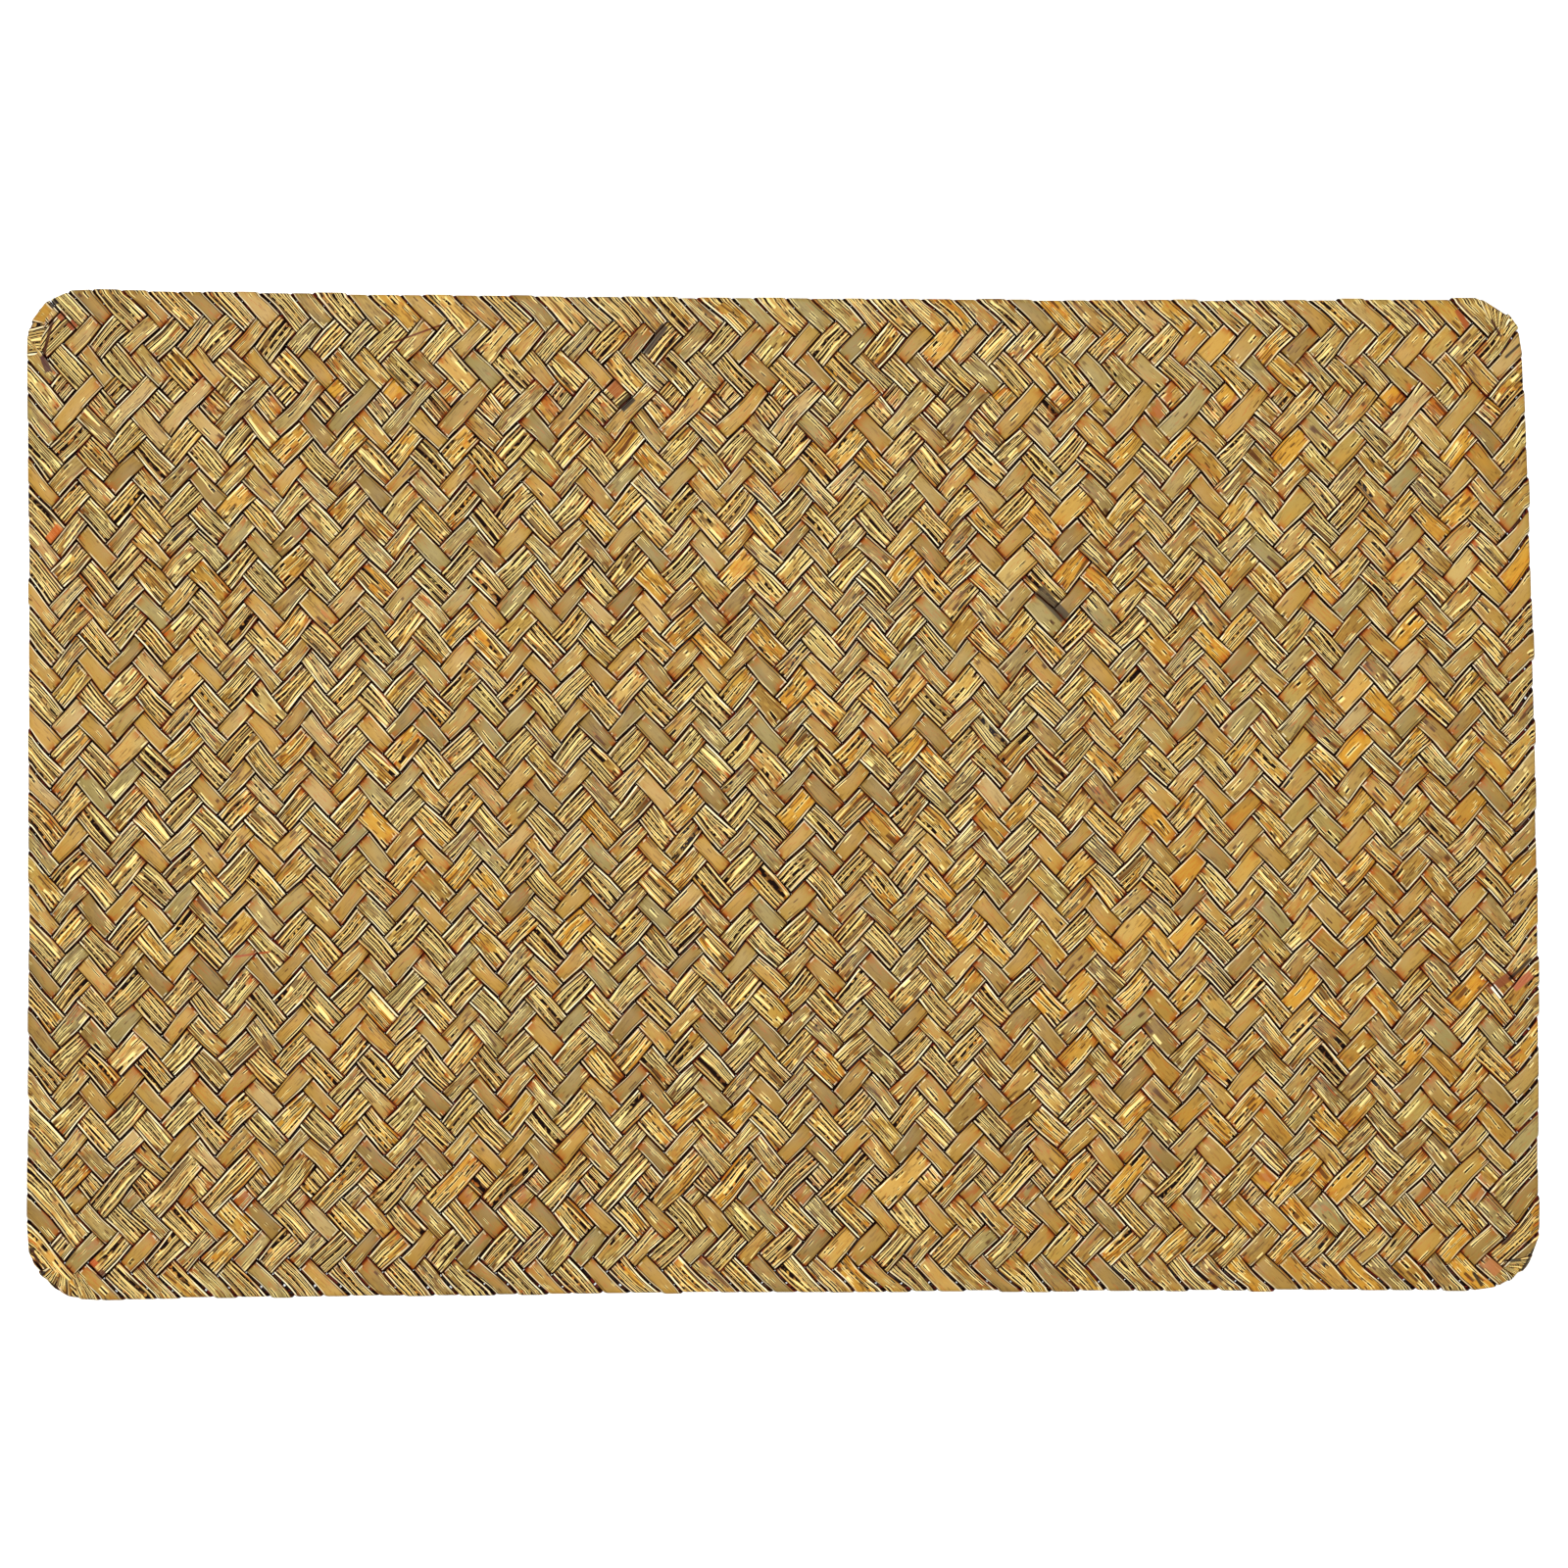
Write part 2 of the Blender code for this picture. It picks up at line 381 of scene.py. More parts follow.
def lay_strip(direction, number, look):
    """One strip as rings of points from end to end, with what its finish varies by."""
    crossings, over = crossings_of(direction, number)
    first, last = crossings[0], crossings[-1]
    reach = FOLD_END if over[0] or over[-1] else 0.0

    def line(share, along):
        return strip_line(direction, number, share, along)

    fits = width_that_fits(line, first, last, reach)
    if fits is None:
        return None
    shares = fits[0] + (fits[1] - fits[0]) * SECTION_SHARES
    other = "up" if direction == "down" else "down"
    edges = np.arange(first - EDGES_BEYOND, last + EDGES_BEYOND + 1)
    edge_places = edge_after(other, edges, number)

    def even_to_true(even):
        return np.interp(even, edges + 0.5, edge_places)

    lines = strip_stations(line, shares, first, last, over[0], over[-1], even_to_true)
    along = lines[:, RING]
    share = np.broadcast_to(shares[RING], along.shape)
    side = np.broadcast_to(RING_SIDES, along.shape)
    even = np.interp(along, edge_places, edges + 0.5)

    # The strip changes a little from one float to the next, while it is out of sight
    turns = over[1:] != over[:-1]
    floats = np.concatenate(((0,), np.cumsum(turns)))
    luck = look["luck"].normal(size=(floats[-1] + 1, len(BY_FLOAT))).clip(-MOST_LUCK, MOST_LUCK)
    here = [stepped(draws, first, even) for draws in luck[floats].T]
    tone, warmth, tilt, puff, streakiness = here
    turn_places = first + np.flatnonzero(turns) + 0.5
    float_ends = np.concatenate(((-FAR_AWAY,), turn_places, (FAR_AWAY,)))
    float_here = np.searchsorted(float_ends, even) - 1
    from_end = np.minimum(even - float_ends[float_here], float_ends[float_here + 1] - even)

    level = stepped(np.where(over, 1.0, -1.0), first, even)
    height = LAYER_RISE * level + tilt * TILT * (share - 0.5) * 2
    section = HALF_THICKNESS * (1 + PUFF * puff) * SECTION_HEIGHTS[RING] * side

    bulge = look["luck"].normal() * FOLD_BULGE
    points = folded(*line(share, along), height, section, bulge)

    width = (fits[1] - fits[0]) * STRIP_PITCH
    off_middle = 2 * (share - fits[0]) / (fits[1] - fits[0]) - 1
    # Painted shade: a strip's top darkens where it runs under another, its underside where it runs
    # over
    shade_under_others = np.where(side > 0, 1 - level, np.where(side < 0, 1 + level, 1 - abs(level))) / 2
    strip_place = (
        along * CROSSING_STEP / MILLIMETRE,
        (share - 0.5) * width / MILLIMETRE,
        np.full_like(along, number * STRIP_APART) + side * SIDES_APART,
    )
    column, row = lattice_place(direction, along, number)
    rightness = np.clip((column - RIGHT_FROM) / RIGHT_OVER, 0, 1)
    leftness = np.clip((LEFT_FROM - column) / LEFT_OVER, 0, 1)
    lowness = np.clip((row - FOOT_FROM) / FOOT_OVER, 0, 1)
    spread = 1.0 - EVENER_ON_RIGHT * rightness + UNEVEN_ON_LEFT * leftness
    tone = spread * tone + PALER_ON_LEFT * leftness + look["run_tone"]
    tone = tone + look["tone_to_right"] * rightness
    tone = tone - (DARKER_AT_FOOT + DARKER_STILL_ON_RIGHT * rightness) * lowness
    warmth = warmth + WARMER_AT_FOOT * lowness
    streaks = look["streaks"] + look["streaks_to_right"] * rightness
    streaks = np.clip(streaks + STREAKS_BY_FLOAT * streakiness, LEAST_STREAKS, 1)
    past_end = from_end.clip(0, 1) * CROSSING_STEP / MILLIMETRE
    return {
        "points": points,
        "length": float(np.ptp(lines, axis=0).mean()) * CROSSING_STEP,
        "width": width,
        "strip_place": np.stack(strip_place, -1),
        "strip_look": np.stack((tone, warmth, streaks), -1),
        "strip_wear": np.stack((off_middle, shade_under_others, past_end), -1),
    }


def ring_faces(count, first_vertex, direction):
    """Faces between the rings of one strip, as corners' vertex numbers."""
    around = len(RING)
    station = np.arange(count - 1)[:, None] * around
    spot = np.arange(around)[None, :]
    after = (spot + 1) % around
    corners = (station + spot, station + around + spot, station + around + after, station + after)
    quads = np.stack(corners, -1).reshape(-1, 4) + first_vertex
    start_cap = np.arange(around) + first_vertex
    end_cap = start_cap[::-1] + (count - 1) * around
    if direction == "up":
        return quads[:, ::-1], start_cap[::-1], end_cap[::-1]
    return quads, start_cap, end_cap


# The unrolled strips lie under each other in a flat map, each with its two cut ends beside it
MAP_END = 0.012
MAP_BETWEEN = 0.06
# A cut end there: where it starts across a strip's share of the map, how wide it is, and how high
CUT_START, CUT_WIDTH, CUT_HEIGHT = 0.05, 0.4, 0.35
RING_ROUND = np.array((0, 0.03, 0.09, 0.41, 0.47, 0.5, 0.53, 0.59, 0.91, 0.97, 1.0))


def unrolled(strip, row, rows, longest, direction):
    """The flat map's places for the corners of one strip's faces, in the order of ring_faces."""
    count, around = strip["points"].shape[:2]
    length = strip["length"] / longest * (1 - 2 * MAP_END)
    step = np.linalg.norm(np.diff(strip["points"].mean(1), axis=0), axis=1)
    run = MAP_END + length * np.concatenate(((0,), np.cumsum(step))) / step.sum()
    base, tall = row / rows, (1 - MAP_BETWEEN) / rows
    low = np.broadcast_to(run[:-1, None], (count - 1, around))
    high = np.broadcast_to(run[1:, None], (count - 1, around))
    below = np.broadcast_to(base + tall * RING_ROUND[:-1], (count - 1, around))
    above = np.broadcast_to(base + tall * RING_ROUND[1:], (count - 1, around))
    corners = ((low, below), (high, below), (high, above), (low, above))
    quads = np.stack([np.stack(corner, -1) for corner in corners], 2).reshape(-1, 4, 2)
    across = base + tall * (CUT_START + CUT_WIDTH * SECTION_SHARES[RING])
    high_side = CUT_HEIGHT * MAP_END * SECTION_HEIGHTS[RING] * RING_SIDES
    start = np.stack((0.5 * MAP_END - high_side, across), -1)
    end = np.stack((run[-1] + 0.5 * MAP_END + high_side, across), -1)[::-1]
    if direction == "up":
        return quads[:, ::-1], start[::-1], end[::-1]
    return quads, start, end


# Single marks on top, in millimetres from the mat's middle: where it is, how long and wide, and how
# many degrees it is turned. Some are the strips' own colour, such as stains, rust and a loose fibre;
# others are painted shade, such as the shadow under a lifted edge and the dark gaps between strips
# at the rims and corners. Only the faces near one wear them.
MARK_COLUMNS = ("x", "y", "half_length", "half_width", "turned", "colour")
MARKS = (
    (80.2, 56.9, 6.0, 1.8, -47, (0.050, 0.036, 0.022, 1.0)),
    (-50.0, 121.3, 2.6, 2.1, -45, (0.260, 0.080, 0.022, 1.0)),
    (-46.8, 117.0, 2.5, 1.6, 45, (0.006, 0.005, 0.005, 1.0)),
    (-38.3, 135.9, 5.2, 1.2, 52, (0.050, 0.036, 0.028, 1.0)),
    (-108.8, 137.6, 8.9, 0.3, 20, (0.090, 0.010, 0.004, 1.0)),
    (-158.4, -47.6, 5.5, 0.3, 8, (0.260, 0.040, 0.008, 1.0)),
    (214.0, -56.0, 4.5, 1.3, 35, (0.170, 0.045, 0.015, 1.0)),
    (213.0, -58.7, 2.2, 0.8, -50, (0.900, 0.820, 0.640, 1.0)),
    (-217.4, 77.7, 3.0, 1.4, 50, (0.400, 0.090, 0.015, 1.0)),
    (-219.3, 135.9, 6.1, 0.5, 76, (0.040, 0.007, 0.004, 1.0)),
    (-219.9, 128.5, 2.6, 1.0, -70, (0.045, 0.007, 0.006, 1.0)),
    (-217.5, 146.6, 1.3, 0.9, 45, (0.012, 0.007, 0.008, 1.0)),
    (-215.3, 142.9, 1.2, 1.2, -45, (0.230, 0.050, 0.015, 1.0)),
    (-212.0, 140.0, 1.3, 1.2, -45, (0.230, 0.045, 0.015, 1.0)),
    (-224.0, -135.6, 0.8, 0.6, 0, (0.010, 0.006, 0.006, 1.0)),
    (-222.4, -139.1, 3.9, 0.4, -65, (0.040, 0.010, 0.006, 1.0)),
    (-220.8, -142.6, 0.8, 0.6, 0, (0.010, 0.006, 0.006, 1.0)),
    (-205.9, -139.5, 1.4, 1.2, -45, (0.380, 0.080, 0.020, 1.0)),
    (-203.2, -143.0, 1.2, 1.2, -45, (0.100, 0.035, 0.018, 1.0)),
    (217.6, 132.4, 3.0, 0.4, 43, (0.010, 0.006, 0.004, 1.0)),
    (212.6, 139.2, 3.0, 0.4, -60, (0.040, 0.008, 0.006, 1.0)),
    (202.6, 141.9, 3.2, 0.9, -60, (0.260, 0.055, 0.014, 1.0)),
    (216.3, -132.3, 2.7, 0.5, 42, (0.030, 0.009, 0.006, 1.0)),
    (217.5, -138.8, 2.6, 0.4, 3, (0.012, 0.008, 0.006, 1.0)),
    (221.6, -139.9, 5.2, 0.4, 61, (0.020, 0.014, 0.010, 1.0)),
    (207.2, -144.5, 2.4, 0.5, -57, (0.012, 0.007, 0.006, 1.0)),
    (211.8, -140.7, 2.4, 1.9, -45, (0.330, 0.120, 0.035, 1.0)),
    (221.3, -7.7, 5.0, 0.5, 43, (0.040, 0.010, 0.007, 1.0)),
    (220.0, -17.7, 2.8, 0.5, 37, (0.050, 0.012, 0.008, 1.0)),
    (218.6, -36.8, 2.2, 0.5, 38, (0.050, 0.012, 0.008, 1.0)),
    (219.9, -51.9, 4.6, 0.5, 44, (0.012, 0.008, 0.007, 1.0)),
    (220.5, -55.6, 3.4, 1.2, 40, (0.330, 0.090, 0.040, 1.0)),
    (218.4, -77.2, 2.0, 0.4, 42, (0.060, 0.012, 0.008, 1.0)),
)
# A face's middle may be this far past a mark's end. A mark is on top only: it starts at one height
# and is whole at the other. It fades over a share of its length at its ends, and over a part of a
# millimetre at its sides.
FACE_REACH = 5.0
TOP_FROM, TOP_WHOLLY = 1.2, 1.6
MARK_STRENGTH = 0.9
SOFT_ENDS = 0.1
SOFT_SIDES = 0.15


def near_marks(centres):
    """Which faces lie near a single mark on top, by their centres in metres."""
    x, y, z = (centres / MILLIMETRE).T
    near = np.zeros(len(centres), bool)
    for row in MARKS:
        mark = dict(zip(MARK_COLUMNS, row))
        near |= np.hypot(x - mark["x"], y - mark["y"]) < mark["half_length"] + FACE_REACH
    return near & (z > MIDDLE_HEIGHT / MILLIMETRE)


def strip_mesh(name, strips, direction):
    """One mesh of many strips, with the flat map and the values that the finish reads."""
    faces, places, sizes = [], [], []
    vertex = 0
    longest = max(strip["length"] for strip in strips)
    for row, strip in enumerate(strips):
        count = len(strip["points"])
        made = ring_faces(count, vertex, direction)
        flat = unrolled(strip, row, len(strips), longest, direction)
        for face, place in zip(made, flat):
            faces.append(face.ravel())
            places.append(place.reshape(-1, 2))
        sizes += [4] * len(made[0]) + [len(RING)] * 2
        vertex += count * len(RING)
    corners = np.concatenate(faces)
    mesh = bpy.data.meshes.new(name)
    mesh.vertices.add(vertex)
    mesh.vertices.foreach_set("co", np.concatenate([s["points"].ravel() for s in strips]))
    mesh.loops.add(len(corners))
    mesh.loops.foreach_set("vertex_index", corners.astype(np.int32))
    mesh.polygons.add(len(sizes))
    starts = np.concatenate(((0,), np.cumsum(sizes)[:-1]))
    mesh.polygons.foreach_set("loop_start", starts.astype(np.int32))
    mesh.update(calc_edges=True)
    mesh.shade_smooth()
    centres = np.empty(len(sizes) * 3)
    mesh.polygons.foreach_get("center", centres)
    marked = near_marks(centres.reshape(-1, 3))
    mesh.polygons.foreach_set("material_index", marked.astype(np.int32))
    bake_map = mesh.uv_layers.new(name="OFBake")
    bake_map.uv.foreach_set("vector", np.concatenate(places).astype(np.float32).ravel())
    for value in ("strip_place", "strip_look", "strip_wear", "points"):
        attribute = mesh.attributes.new(value, "FLOAT_VECTOR", "POINT")
        values = np.concatenate([strip[value].reshape(-1, 3) for strip in strips])
        attribute.data.foreach_set("vector", values.astype(np.float32).ravel())
    mesh.validate()
    return mesh


class Value:
    """A value, colour or vector in a material's nodes, to reckon with as with a number."""

    def __init__(self, tree, socket):
        self.tree = tree
        self.socket = socket

    def node(self, kind, settings, sockets, output):
        """Any node: its settings are set first, then the values or links of its sockets."""
        made = self.tree.nodes.new(kind)
        for setting, value in settings.items():
            setattr(made, setting, value)
        by_name = {socket.identifier: socket for socket in made.inputs}
        for name, value in sockets.items():
            if isinstance(value, Value):
                self.tree.links.new(value.socket, by_name[name])
            else:
                by_name[name].default_value = value
        found = {socket.identifier: socket for socket in made.outputs}
        return Value(self.tree, found[output])

    def maths(self, operation, first, second=0.0):
        sockets = {"Value": first, "Value_001": second}
        return self.node("ShaderNodeMath", {"operation": operation}, sockets, "Value")

    def __add__(self, other):
        return self.maths("ADD", self, other)

    __radd__ = __add__

    def __sub__(self, other):
        return self.maths("SUBTRACT", self, other)

    def __rsub__(self, other):
        return self.maths("SUBTRACT", other, self)

    def __mul__(self, other):
        return self.maths("MULTIPLY", self, other)

    __rmul__ = __mul__

    def __abs__(self):
        return self.maths("ABSOLUTE", self)

    def ramp(self, low, high):
        """0 below low and 1 above high, smooth between; low may be the greater."""
        settings = {"interpolation_type": "SMOOTHSTEP"}
        sockets = {"Value": self, "From Min": low, "From Max": high}
        return self.node("ShaderNodeMapRange", settings, sockets, "Result")

    def between(self, first, second):
        """A colour that goes over from the first to the second as this goes from 0 to 1."""
        sockets = {"A_Color": first, "B_Color": second, "Factor_Float": self}
        return self.node("ShaderNodeMix", {"data_type": "RGBA"}, sockets, "Result_Color")

    def scaled(self, x, y, z):
        sockets = {"Vector": self, "Vector_001": (x, y, z)}
        return self.node("ShaderNodeVectorMath", {"operation": "MULTIPLY"}, sockets, "Vector")

    def noise(self, along, across, detail=2.0, roughness=0.5):
        """Noise over a place on a strip, with so many waves to a millimetre along and across it."""
        sockets = {
            "Vector": self.scaled(along, across, 1.0),
            "Scale": 1.0,
            "Detail": detail,
            "Roughness": roughness,
        }
        return self.node("ShaderNodeTexNoise", {}, sockets, "Fac")

    def part(self, axis):
        return self.node("ShaderNodeSeparateXYZ", {}, {"Vector": self}, axis)

    def towards(self, x, y):
        """How far along a direction of the plan a vector reaches."""
        sockets = {"Vector": self, "Vector_001": (x, y, 0.0)}
        return self.node("ShaderNodeVectorMath", {"operation": "DOT_PRODUCT"}, sockets, "Value")


# Colours that all the strips share: painted shade between them and at their ends (its near-black also
# colours the dark partings and ribs), dark and pale fibres, and the lips where a strip was split off
DARK_SHADE_AND_LINES = (0.0060, 0.0014, 0.0006, 1.0)
BROWN_SHADE = (0.0450, 0.0120, 0.0030, 1.0)
RED_SHADE = (0.1100, 0.0090, 0.0050, 1.0)
RED_BROWN = (0.1600, 0.0200, 0.0020, 1.0)
RED_ORANGE = (0.3600, 0.0480, 0.0040, 1.0)
FIBRE_SHADOW = (0.0600, 0.0150, 0.0025, 1.0)
PALE_FIBRE = (0.840, 0.670, 0.260, 1.0)
STRAW = (0.640, 0.420, 0.090, 1.0)
CREAM = (0.930, 0.850, 0.570, 1.0)
GREY_LIP = (0.640, 0.540, 0.340, 1.0)
BUNDLES_PER_MM = 0.90
FIBRES_PER_MM = 1.35
# A dark parting runs along the middle of its bundle, and a pale line just beside it, at a share of
# a bundle. More of them are open on a streaked strip. In the noise, bundles lie well apart.
HALF_BUNDLE = 0.5
JUST_BESIDE = 0.13
OPENED_BY_STREAKS = 0.36
BUNDLE_APART = 5.3
# Millimetres in from a strip's edge: how far its shadow reaches, more where it has a lip, and
# where the lip and the rib run, and the same from where it comes out from under another
SHADOW_WIDTH, MORE_AT_LIP = 0.21, 0.13
LIP_PLACE = 0.55
RIB_PLACE = 0.84
END_LIP_PLACE = 0.48


def strip_finish(name, colours, roughness, coat, marks):
    """Dried strip: fibres run along it, dark and pale, its edges are dark and go orange."""
    material = bpy.data.materials.new(name)
    material.use_nodes = True
    tree = material.node_tree
    surface = tree.nodes["Principled BSDF"]
    start = Value(tree, None)

    def carried(attribute, axis=None):
        settings = {"attribute_name": attribute, "attribute_type": "GEOMETRY"}
        vector = start.node("ShaderNodeAttribute", settings, {}, "Vector")
        return vector.part(axis) if axis else vector

    place = carried("strip_place")
    tone, warmth, streaks = [carried("strip_look", axis) for axis in "XYZ"]
    # Across to its edges, painted shade where it is under the others, and how far from a float's end
    off_middle, painted_shade_under, from_end = [carried("strip_wear", axis) for axis in "XYZ"]
    edge = (1 - abs(off_middle)) * (STRIP_PITCH / 2 / MILLIMETRE)
    drift = place.noise(0.020, 0.42, detail=1.0)

    def parting(per_mm, wander, every, most):
        """Where fibres part: how far off the parting's middle, and how often it is open."""
        bundle = place.part("Y") * per_mm + drift * wander
        number = bundle.maths("FLOOR", bundle)
        sockets = {"X": place.part("X") * every, "Y": number * BUNDLE_APART, "Z": place.part("Z")}
        own_place = start.node("ShaderNodeCombineXYZ", {}, sockets, "Vector")
        luck = own_place.noise(1.0, 1.0, detail=1.0)
        opened = (luck + streaks * OPENED_BY_STREAKS).ramp(most, most + 0.05)
        return abs(bundle - number - HALF_BUNDLE), opened

    # Fibre bundles part in thin dark lines, about a millimetre apart, with pale fibres beside
    beside, parted = parting(BUNDLES_PER_MM, wander=2.6, every=0.14, most=0.66)
    width = place.noise(0.14, 0.7, detail=1.0) * 0.12 + 0.12
    dashes = place.noise(0.75, 0.9, detail=1.0).ramp(0.36, 0.48)
    inside = edge.ramp(0.60, 0.90)
    line = (width - beside).ramp(-0.03, 0.03) * parted * inside * dashes
    pale_line = abs(beside - width - JUST_BESIDE).ramp(0.13, 0.07) * parted
    near_fine, open_fine = parting(FIBRES_PER_MM, wander=5.5, every=0.16, most=0.69)
    fine_line = near_fine.ramp(0.27, 0.16) * open_fine * inside
    grain = place.noise(0.24, 1.70, detail=2.0, roughness=0.7)

    # A pale lip along each edge, and often a dark rib inside it
    lipped = place.noise(0.10, 0.30, detail=1.0).ramp(0.42, 0.52)
    lip = abs(edge - LIP_PLACE).ramp(0.22, 0.13) * lipped
    ribbed = place.noise(0.06, 0.24, detail=1.0).ramp(0.46, 0.52)
    rib = abs(edge - RIB_PLACE).ramp(0.20, 0.12) * ribbed
    end_lipped = place.noise(0.10, 0.4).ramp(0.50, 0.58)
    end_lip = abs(from_end - END_LIP_PLACE).ramp(0.22, 0.12) * end_lipped
    lip_colour = place.noise(0.09, 0.13, detail=1.0).ramp(0.42, 0.54).between(CREAM, GREY_LIP)

    # The strip's own colour: in patches, by its tone and warmth, and rusty where it comes out
    patch = place.noise(0.11, 0.22, detail=2.0)
    sunned = place.noise(0.060, 0.16, detail=1.0).ramp(0.44, 0.66)
    colour = (patch.ramp(0.42, 0.72) * 0.18).between(colours["body"], colours["pale"])
    colour = ((tone * -0.5).ramp(0.0, 0.6) * 0.8).between(colour, colours["dull"])
    colour = ((tone * 0.5).ramp(0.0, 0.7) * 0.7).between(colour, colours["pale"])
    colour = (warmth.ramp(0.0, -1.6) * 0.75).between(colour, colours["olive"])
    colour = (warmth.ramp(-0.3, 1.6) * 0.60 + sunned * 0.28).between(colour, colours["golden"])
    reddened = place.noise(0.13, 0.30, detail=2.0).ramp(0.47, 0.57)
    colour = (from_end.ramp(3.0, 0.4) * reddened * 0.7).between(colour, colours["rust"])

    # Over it the fibres, the specks between them, and the edges and ends
    speck = reddened.between(FIBRE_SHADOW, RED_ORANGE)
    colour = (grain.ramp(0.55, 0.61) * (streaks * 0.6 + 0.25)).between(colour, speck)
    colour = (grain.ramp(0.42, 0.36) * (streaks * 0.45)).between(colour, STRAW)
    colour = (beside.ramp(0.45, 0.15) * sunned * streaks * 0.5).between(colour, colours["rust"])
    colour = (pale_line * 0.80).between(colour, PALE_FIBRE)
    colour = (fine_line * 0.85).between(colour, FIBRE_SHADOW)
    # Painted shade: a red-brown band along an edge without a lip, beside the gap
    colour = ((1 - lipped) * edge.ramp(0.55, 0.24) * 0.35).between(colour, RED_BROWN)
    colour = (reddened * from_end.ramp(0.80, 0.30) * 0.7).between(colour, RED_BROWN)
    colour = (lip * (streaks * 0.35 + 0.48)).between(colour, lip_colour)
    colour = (end_lip * 0.5).between(colour, lip_colour)
    colour = (rib * (streaks * 0.2 + 0.75)).between(colour, DARK_SHADE_AND_LINES)
    colour = line.between(colour, DARK_SHADE_AND_LINES)

    # The single marks on top, and last the shadows beside the strip and under the others
    on_mat = carried("points").scaled(1 / MILLIMETRE, 1 / MILLIMETRE, 1 / MILLIMETRE)
    on_top = on_mat.part("Z").ramp(TOP_FROM, TOP_WHOLLY)
    for row in marks:
        mark = dict(zip(MARK_COLUMNS, row))
        x, y = math.cos(math.radians(mark["turned"])), math.sin(math.radians(mark["turned"]))
        along = abs(on_mat.towards(x, y) - (mark["x"] * x + mark["y"] * y))
        across = abs(on_mat.towards(-y, x) - (mark["y"] * x - mark["x"] * y))
        longer, shorter = mark["half_length"] * (1 + SOFT_ENDS), mark["half_length"] * (1 - SOFT_ENDS)
        wider, narrower = mark["half_width"] + SOFT_SIDES, mark["half_width"] - SOFT_SIDES
        spot = along.ramp(longer, shorter) * on_top * across.ramp(wider, narrower)
        colour = (spot * MARK_STRENGTH).between(colour, mark["colour"])
    # Painted shade beside the strip and under the others: near-black by a lip, else brown going red
    red_painted_shade = reddened.between(BROWN_SHADE, RED_SHADE)
    painted_shade_colour = lipped.between(red_painted_shade, DARK_SHADE_AND_LINES)
    shadow = (lipped * MORE_AT_LIP + SHADOW_WIDTH - edge).ramp(-0.04, 0.04)
    colour = shadow.between(colour, painted_shade_colour)
    colour = painted_shade_under.ramp(0.30, 0.40).between(colour, painted_shade_colour)
    tree.links.new(colour.socket, surface.inputs["Base Color"])

    rough = patch * 0.14 + (line * 0.2 + roughness)
    tree.links.new(rough.socket, surface.inputs["Roughness"])
    surface.inputs["Specular IOR Level"].default_value = 0.06
    surface.inputs["Coat Weight"].default_value = coat
    surface.inputs["Coat Roughness"].default_value = 0.35

    relief = pale_line * 0.4 - line * 0.6 - fine_line * 0.3 + patch * 0.3
    sockets = {"Height": relief, "Strength": 0.45, "Distance": 0.00025}
    bump = start.node("ShaderNodeBump", {}, sockets, "Normal")
    tree.links.new(bump.socket, surface.inputs["Normal"])
    return material


def strip_finishes(name, colours, roughness, coat):
    """The finish as it is nearly everywhere, and the one for the faces near single marks."""
    plain = strip_finish(name, colours, roughness, coat, ())
    return plain, strip_finish(f"{name}_marked", colours, roughness, coat, MARKS)


PIECES_PER_FINISH = 4
STREAKS_BY_STRIP = 0.22


def lay_group(finish, direction, numbers, materials, look):
    """All the strips of one finish and direction, shared out to pieces that each span the mat."""
    strips = {}
    for number in numbers:
        luck = np.random.default_rng([look["seed"], number - FIRST_WAVER])
        own = dict(look, luck=luck)
        own["run_tone"] = look["tone"] + look["tone_spread"] * luck.normal()
        own["streaks"] = look["streaks"] + STREAKS_BY_STRIP * luck.normal()
        strip = lay_strip(direction, number, own)
        if strip is not None:
            strips[number] = strip
    laid = sorted(strips)
    for share in range(PIECES_PER_FINISH):
        name = f"{finish}_strips_{direction}_{share + 1}"
        chosen = [strips[number] for number in laid[share::PIECES_PER_FINISH]]
        piece = bpy.data.objects.new(name, strip_mesh(name, chosen, direction))
        bpy.context.scene.collection.objects.link(piece)
        for material in materials:
            piece.data.materials.append(material)
        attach(piece, "root")
        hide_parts("plaited_mat")
        length = sum(strip["length"] for strip in chosen) / len(chosen)


streaked_finishes = strip_finishes(
    "streaked_strip",
    colours={
        "body": (0.345, 0.196, 0.029, 1.0),
        "pale": (0.450, 0.322, 0.120, 1.0),
        "dull": (0.180, 0.098, 0.022, 1.0),
        "golden": (0.480, 0.225, 0.018, 1.0),
        "olive": (0.260, 0.196, 0.058, 1.0),
        "rust": (0.300, 0.070, 0.006, 1.0),
    },
    roughness=0.55,
    coat=0.0,
)
lay_group(
    "streaked",
    "down",
    [number for number in DOWN_STRIPS if number % 2],
    streaked_finishes,
    {
        "seed": 11,
        "tone": 0.30,
        "tone_spread": 0.16,
        "tone_to_right": -0.85,
        "streaks": 0.94,
        "streaks_to_right": -0.34,
    },
)

# The smooth strips that run down to the right, between the streaked ones. They show the stem's
# outer skin, which is waxy and khaki, with few lines, and most of them are narrower.

